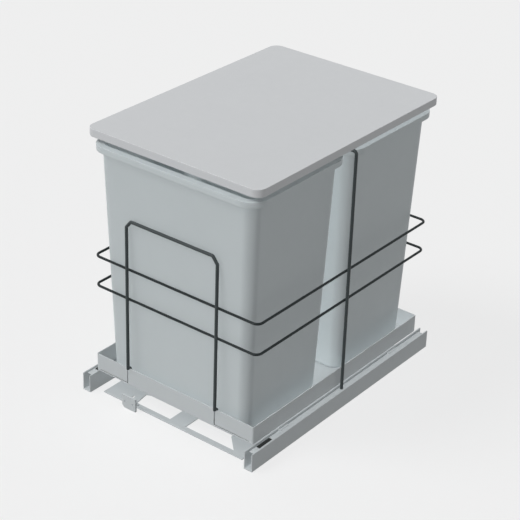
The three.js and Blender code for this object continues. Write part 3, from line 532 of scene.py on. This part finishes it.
def blade(leg_x):
    """A flattened end: its side outline, drawn out to its width."""
    work = bmesh.new()
    near = [work.verts.new((leg_x - blade_half_width, y, z)) for y, z in blade_side]
    face = work.faces.new(near)
    drawn = bmesh.ops.extrude_face_region(work, geom=[face])
    moved = [item for item in drawn["geom"] if isinstance(item, bmesh.types.BMVert)]
    bmesh.ops.translate(work, verts=moved, vec=(2 * blade_half_width, 0, 0))
    bmesh.ops.recalc_face_normals(work, faces=work.faces)
    bmesh.ops.bevel(work, geom=list(work.edges), offset=blade_edge, segments=edge_steps,
                    affect="EDGES")
    mesh = bpy.data.meshes.new("blade")
    work.to_mesh(mesh)
    work.free()
    return placed("blade", mesh)


def combined(name, mesh, others, operation):
    """A mesh joined to, or cut by, other objects, which are then removed."""
    holder = placed("work", mesh)
    for other in others:
        change = holder.modifiers.new("change", "BOOLEAN")
        change.object = other
        change.operation = operation
        change.solver = "EXACT"
    result = baked(holder, name)
    for other in others:
        bpy.data.objects.remove(other)
    return result


front_rod = bent_wire("front_hoop", corners, False, front_bend, hoop_radius, hoop_wire)
add_piece("front_hoop_wire",
          combined("front_hoop", front_rod, [blade(left), blade(right)], "UNION"),
          hoop_wire, "carriage", ["front_hoop"])

# ---- Cage rings ----------------------------------------------------------------------------------
# Two rings of a thinner steel wire, butt-welded and coated nearly black. They run behind the front
# hoop's legs and inside the centre hoop's.

ring_wire = coated("ring_wire", linear(36, 42, 43), shade=0.04, roughness=0.42,
                   grain=700, bump=0.1, shine=0.15)
ring_bend = 0.012
for ring in ("ring_lower", "ring_upper"):
    low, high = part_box(ring)
    ring_radius = (high.z - low.z) / 2
    left, right = low.x + ring_radius, high.x - ring_radius
    front, back = low.y + ring_radius, high.y - ring_radius
    middle = (low.z + high.z) / 2
    corners = [(left, front, middle), (right, front, middle), (right, back, middle),
               (left, back, middle)]
    add_piece(f"{ring}_wire", bent_wire(ring, corners, True, ring_bend, ring_radius, ring_wire),
              ring_wire, "carriage", [ring])

# ---- Bins ----------------------------------------------------------------------------------------
# Injection moulded in grey plastic, with a draft to the walls, rounded corners, a turned-down rim
# and a round where each wall meets the floor. One profile runs round a rounded rectangle.

bin_plastic = coated("bin_plastic", linear(191, 198, 200), shade=0.008, roughness=0.5,
                     grain=1600, bump=0.1)
bin_wall = 0.0025
skirt_wall = 0.002
rim_corner = 0.035
least_corner = 0.020
shoulder_inset = 0.012
flange_width = 0.014
foot_inset = 0.026
rim_drop = 0.0115
shoulder_drop = 0.003
foot_round = 0.006
inner_foot_round = 0.005
rim_round = 0.0009
rim_cut = 0.3 * rim_round
lip = 0.0007
round_steps = 4
corner_steps = 16


def rounded_ring(low_corner, high_corner, inset, height, radius):
    """A rounded rectangle at one height, drawn in from a box's sides."""
    middle = (low_corner + high_corner) / 2
    points = []
    for x, y, start in ((high_corner.x, high_corner.y, 0), (low_corner.x, high_corner.y, 90),
                        (low_corner.x, low_corner.y, 180), (high_corner.x, low_corner.y, 270)):
        centre_x = x - math.copysign(inset + radius, x - middle.x)
        centre_y = y - math.copysign(inset + radius, y - middle.y)
        for i in range(corner_steps + 1):
            angle = math.radians(start + 90 * i / corner_steps)
            points.append((centre_x + radius * math.cos(angle),
                           centre_y + radius * math.sin(angle), height))
    return points


def lofted(name, rings):
    """A closed skin through rings of points, with flat ends."""
    work = bmesh.new()
    loops = [[work.verts.new(point) for point in ring] for ring in rings]
    count = len(loops[0])
    for lower, upper in zip(loops, loops[1:]):
        for i in range(count):
            after = (i + 1) % count
            work.faces.new((lower[i], lower[after], upper[after], upper[i]))
    work.faces.new(list(reversed(loops[0])))
    work.faces.new(loops[-1])
    bmesh.ops.recalc_face_normals(work, faces=work.faces)
    mesh = bpy.data.meshes.new(name)
    work.to_mesh(mesh)
    work.free()
    return mesh


def foot_curve(inset, floor, radius, slope):
    """The round from a floor up into a leaning wall: (inset, height) from the floor."""
    points = []
    for i in range(round_steps + 1):
        angle = math.radians(90 * i / round_steps)
        lift = radius * (1 - math.cos(angle))
        points.append((inset + radius * (1 - math.sin(angle)) - slope * lift, floor + lift))
    return points


def bin_profile(floor, top):
    """From the underside up the outside, over the rim and down the inside."""
    shoulder = top - rim_drop - shoulder_drop
    slope = (foot_inset - shoulder_inset) / (shoulder - floor)
    flange = top - bin_wall
    skirt_foot = top - rim_drop
    outside = foot_curve(foot_inset, floor, foot_round, slope)
    rim = [
        (shoulder_inset, shoulder),
        (shoulder_inset, flange - 2 * lip),
        (shoulder_inset - 2 * lip, flange),
        (skirt_wall + lip, flange),
        (skirt_wall, flange - lip),
        (skirt_wall, skirt_foot + lip),
        (skirt_wall - lip, skirt_foot),
        (lip, skirt_foot),
        (0, skirt_foot + lip),
        (0, top - rim_round),
        (rim_cut, top - rim_cut),
        (rim_round, top),
        (flange_width - lip, top),
        (flange_width, top - lip),
        (shoulder_inset + bin_wall, shoulder),
    ]
    inner_floor = floor + bin_wall
    inside = foot_curve(foot_inset + bin_wall, inner_floor, inner_foot_round, slope)
    return outside + rim + inside[::-1]


for which in ("front", "rear"):
    node = f"{which}_bin"
    low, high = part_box(node)
    rings = [rounded_ring(low, high, inset, height, max(rim_corner - inset, least_corner))
             for inset, height in bin_profile(low.z, high.z)]
    add_piece(f"{node}_moulded", lofted(node, rings), bin_plastic, node, [node])

# ---- Lid -----------------------------------------------------------------------------------------
# One flat slab of moulded plastic over both bins, with rounded corners and a small round along its
# upper and lower edges. Pilot holes in its underside take the saddle screws.

lid_plastic = coated("lid_plastic", linear(199, 201, 203), shade=0.006, roughness=0.5,
                     grain=1500, bump=0.08)
lid_corner = 0.018
lid_round = 0.0006
pilot_radius = 0.00205
pilot_depth = 0.0095
saddle_screws = [f"saddle_screw_{end}_{side}" for end, side in places]
low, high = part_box("lid")
lower_rings = []
upper_rings = []
for i in range(round_steps + 1):
    angle = math.radians(90 * i / round_steps)
    inset = lid_round * (1 - math.sin(angle))
    lift = lid_round * (1 - math.cos(angle))
    lower_rings.append(rounded_ring(low, high, inset, low.z + lift, lid_corner - inset))
    upper_rings.insert(0, rounded_ring(low, high, inset, high.z - lift, lid_corner - inset))
pilots = []
for node in saddle_screws:
    screw_low, screw_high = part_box(node)
    middle = (screw_low + screw_high) / 2
    hole = turned("z", [(pilot_radius, -pilot_depth), (pilot_radius, pilot_depth)])
    hole.transform(Matrix.Translation((middle.x, middle.y, low.z)))
    pilots.append(placed("pilot", hole))
add_piece("lid_moulded",
          combined("lid", lofted("lid", lower_rings + upper_rings), pilots, "DIFFERENCE"),
          lid_plastic, "lid", ["lid"])

# ---- Lid saddles ---------------------------------------------------------------------------------
# Blocks of black moulded plastic, screwed under the lid. Each straddles the centre hoop's bar and
# bears on the rims of both bins.

black_plastic = coated("black_plastic", linear(42, 46, 47), shade=0.05, roughness=0.55,
                       grain=1500, bump=0.12)
saddle_edge = 0.0003
for side in SIDES:
    node = f"lid_saddle_{side}"
    add_piece(f"{node}_moulded", softened(node, saddle_edge), black_plastic, "lid",
              [node])

# ---- Saddle screws -------------------------------------------------------------------------------
# Bright steel screws with round heads and threaded shanks, driven up through the saddles into the
# lid's pilot holes.

screw_length = length_of(saddle_screws[0], "z")
head_height = 0.0024
# Each point of the head is (radius, height from the head's end).
screw_head = [(0.0022, 0), (0.0032, 0.0006), (0.0035, 0.0014), (0.0035, head_height)]
thread_pitch = 0.0012
thread_root = 0.00125
thread_crest = 0.00175
tip_length = 0.0022
tip_radius = 0.0004


def screw_outline():
    """A round head below, a shank with thread ridges above it, and a blunt tip."""
    bottom = -screw_length / 2
    top = screw_length / 2
    outline = [(radius, bottom + height) for radius, height in screw_head]
    ridges = int((top - tip_length - bottom - head_height) / thread_pitch)
    for i in range(ridges):
        height = bottom + head_height + i * thread_pitch
        outline += [(thread_root, height), (thread_crest, height + thread_pitch / 2)]
    return outline + [(thread_root, top - tip_length / 2), (tip_radius, top)]


fastener_piece("saddle_screws", saddle_screws, "z", screw_outline(), "lid")

# ---- Floor ---------------------------------------------------------------------------------------
# A plain pale floor. Most of what the camera sees of it is its own pale colour, and the rest takes
# the object's shadow. It throws little light back up, as a dull cloth would.

pale = linear(242, 242, 242)
dull = linear(119, 119, 119)
shadow_share = 0.45
floor_reach = 30
floor_drop = 0.0005


def seen_directly(tree):
    """1 for rays that come from the camera, a reflection or through glass, and 0 for the rest."""
    path = tree.nodes.new("ShaderNodeLightPath")
    glossy = tree.nodes.new("ShaderNodeMath")
    glossy.operation = "MAXIMUM"
    through = tree.nodes.new("ShaderNodeMath")
    through.operation = "MAXIMUM"
    tree.links.new(path.outputs["Is Camera Ray"], glossy.inputs[0])
    tree.links.new(path.outputs["Is Glossy Ray"], glossy.inputs[1])
    tree.links.new(glossy.outputs["Value"], through.inputs[0])
    tree.links.new(path.outputs["Is Transmission Ray"], through.inputs[1])
    return through.outputs["Value"]


floor_mesh = bpy.data.meshes.new("floor")
floor_mesh.from_pydata([(x * floor_reach, y * floor_reach, -floor_drop)
                        for x, y in ((-1, -1), (1, -1), (1, 1), (-1, 1))], [], [(0, 1, 2, 3)])
floor_material = bpy.data.materials.new("floor")
floor_material.use_nodes = True
floor_tree = floor_material.node_tree
floor_shader = floor_tree.nodes["Principled BSDF"]
floor_shader.inputs["Roughness"].default_value = 1
floor_shader.inputs["Specular IOR Level"].default_value = 0
floor_seen = seen_directly(floor_tree)
floor_tone = floor_tree.nodes.new("ShaderNodeMix")
floor_tone.data_type = "RGBA"
floor_tone.inputs["A"].default_value = dull
floor_tone.inputs["B"].default_value = pale
floor_tree.links.new(floor_seen, floor_tone.inputs["Factor"])
floor_tree.links.new(floor_tone.outputs["Result"], floor_shader.inputs["Base Color"])
floor_glow = floor_tree.nodes.new("ShaderNodeEmission")
floor_glow.inputs["Color"].default_value = pale
glow_share = floor_tree.nodes.new("ShaderNodeMath")
glow_share.operation = "MULTIPLY"
glow_share.inputs[1].default_value = 1 - shadow_share
floor_mix = floor_tree.nodes.new("ShaderNodeMixShader")
floor_tree.links.new(floor_seen, glow_share.inputs[0])
floor_tree.links.new(glow_share.outputs["Value"], floor_mix.inputs["Fac"])
floor_tree.links.new(floor_shader.outputs["BSDF"], floor_mix.inputs[1])
floor_tree.links.new(floor_glow.outputs["Emission"], floor_mix.inputs[2])
floor_output = floor_tree.nodes["Material Output"]
floor_tree.links.new(floor_mix.outputs["Shader"], floor_output.inputs["Surface"])
floor_mesh.materials.append(floor_material)
placed("floor", floor_mesh)

# ---- Studio light --------------------------------------------------------------------------------
# Two distant lamps give the even light of a tent, strongest from the front, and the pale world
# fills the rest. Only the front bin and the tray take shadows from them, which darken the gap under
# the lid and the slits. One weak lamp casts soft shadows, as on the floor.

sky = (0.98, 0.99, 1.0, 1.0)
sky_strength = 0.17
world = bpy.data.worlds.new("world")
bpy.context.scene.world = world
world.use_nodes = True
world_tree = world.node_tree
ambient = world_tree.nodes["Background"]
ambient.inputs["Color"].default_value = sky
ambient.inputs["Strength"].default_value = sky_strength
backdrop = world_tree.nodes.new("ShaderNodeBackground")
backdrop.inputs["Color"].default_value = pale
backdrop.inputs["Strength"].default_value = 1
world_mix = world_tree.nodes.new("ShaderNodeMixShader")
world_tree.links.new(seen_directly(world_tree), world_mix.inputs["Fac"])
world_tree.links.new(ambient.outputs["Background"], world_mix.inputs[1])
world_tree.links.new(backdrop.outputs["Background"], world_mix.inputs[2])
world_output = world_tree.nodes["World Output"]
world_tree.links.new(world_mix.outputs["Shader"], world_output.inputs["Surface"])


def add_sun(name, direction, energy, spread, casts):
    """A lamp that shines from a direction."""
    lamp_data = bpy.data.lights.new(name, "SUN")
    lamp_data.energy = energy
    lamp_data.angle = math.radians(spread)
    lamp_data.use_shadow = casts
    lamp = bpy.data.objects.new(name, lamp_data)
    lamp.rotation_euler = Vector(direction).to_track_quat("Z", "Y").to_euler()
    bpy.context.scene.collection.objects.link(lamp)
    return lamp


def linked(name, piece_names, state):
    """A group of pieces that a lamp includes or leaves out."""
    group = bpy.data.collections.new(name)
    for piece_name in piece_names:
        group.objects.link(bpy.data.objects[piece_name])
    for item in group.collection_objects:
        item.light_linking.link_state = state
    return group


tent_spread = 10
bin_piece, lid_piece, tray_piece = "front_bin_moulded", "lid_moulded", "tray_sheet"
front_blockers = {bin_piece: [lid_piece, tray_piece], tray_piece: [tray_piece]}
side_blockers = {bin_piece: [bin_piece], tray_piece: [tray_piece]}
# The share of a lamp's light on each shaded piece that its blockers can stop.
shade_depth = {bin_piece: 0.75, tray_piece: 1}
# Each lamp is split. One part lights all but the shaded pieces. Each shaded piece has a part that
# its blockers stop, and another that reaches it for the rest of the light.
for name, direction, energy, shaded in (
    ("tent_front", (-0.2, -0.69, 0.69), 2.65, front_blockers),
    ("tent_side", (0.9, 0.35, 0.25), 0.7, side_blockers),
):
    plain = add_sun(name, direction, energy, tent_spread, casts=False)
    plain.light_linking.receiver_collection = linked(f"{name}_leaves_out", shaded, "EXCLUDE")
    for piece, blockers in shaded.items():
        lights = linked(f"{name}_lights_{piece}", [piece], "INCLUDE")
        depth = shade_depth[piece]
        shading = add_sun(f"{name}_on_{piece}", direction, energy * depth, tent_spread, casts=True)
        shading.light_linking.receiver_collection = lights
        shades = linked(f"{name}_shades_{piece}", blockers, "INCLUDE")
        shading.light_linking.blocker_collection = shades
        if depth < 1:
            through = add_sun(f"{name}_through_to_{piece}", direction, energy * (1 - depth),
                              tent_spread, casts=False)
            through.light_linking.receiver_collection = lights
add_sun("shadow", direction=(-0.45, -0.45, 0.77), energy=0.5, spread=25, casts=True)

bpy.context.scene.view_settings.view_transform = "Standard"
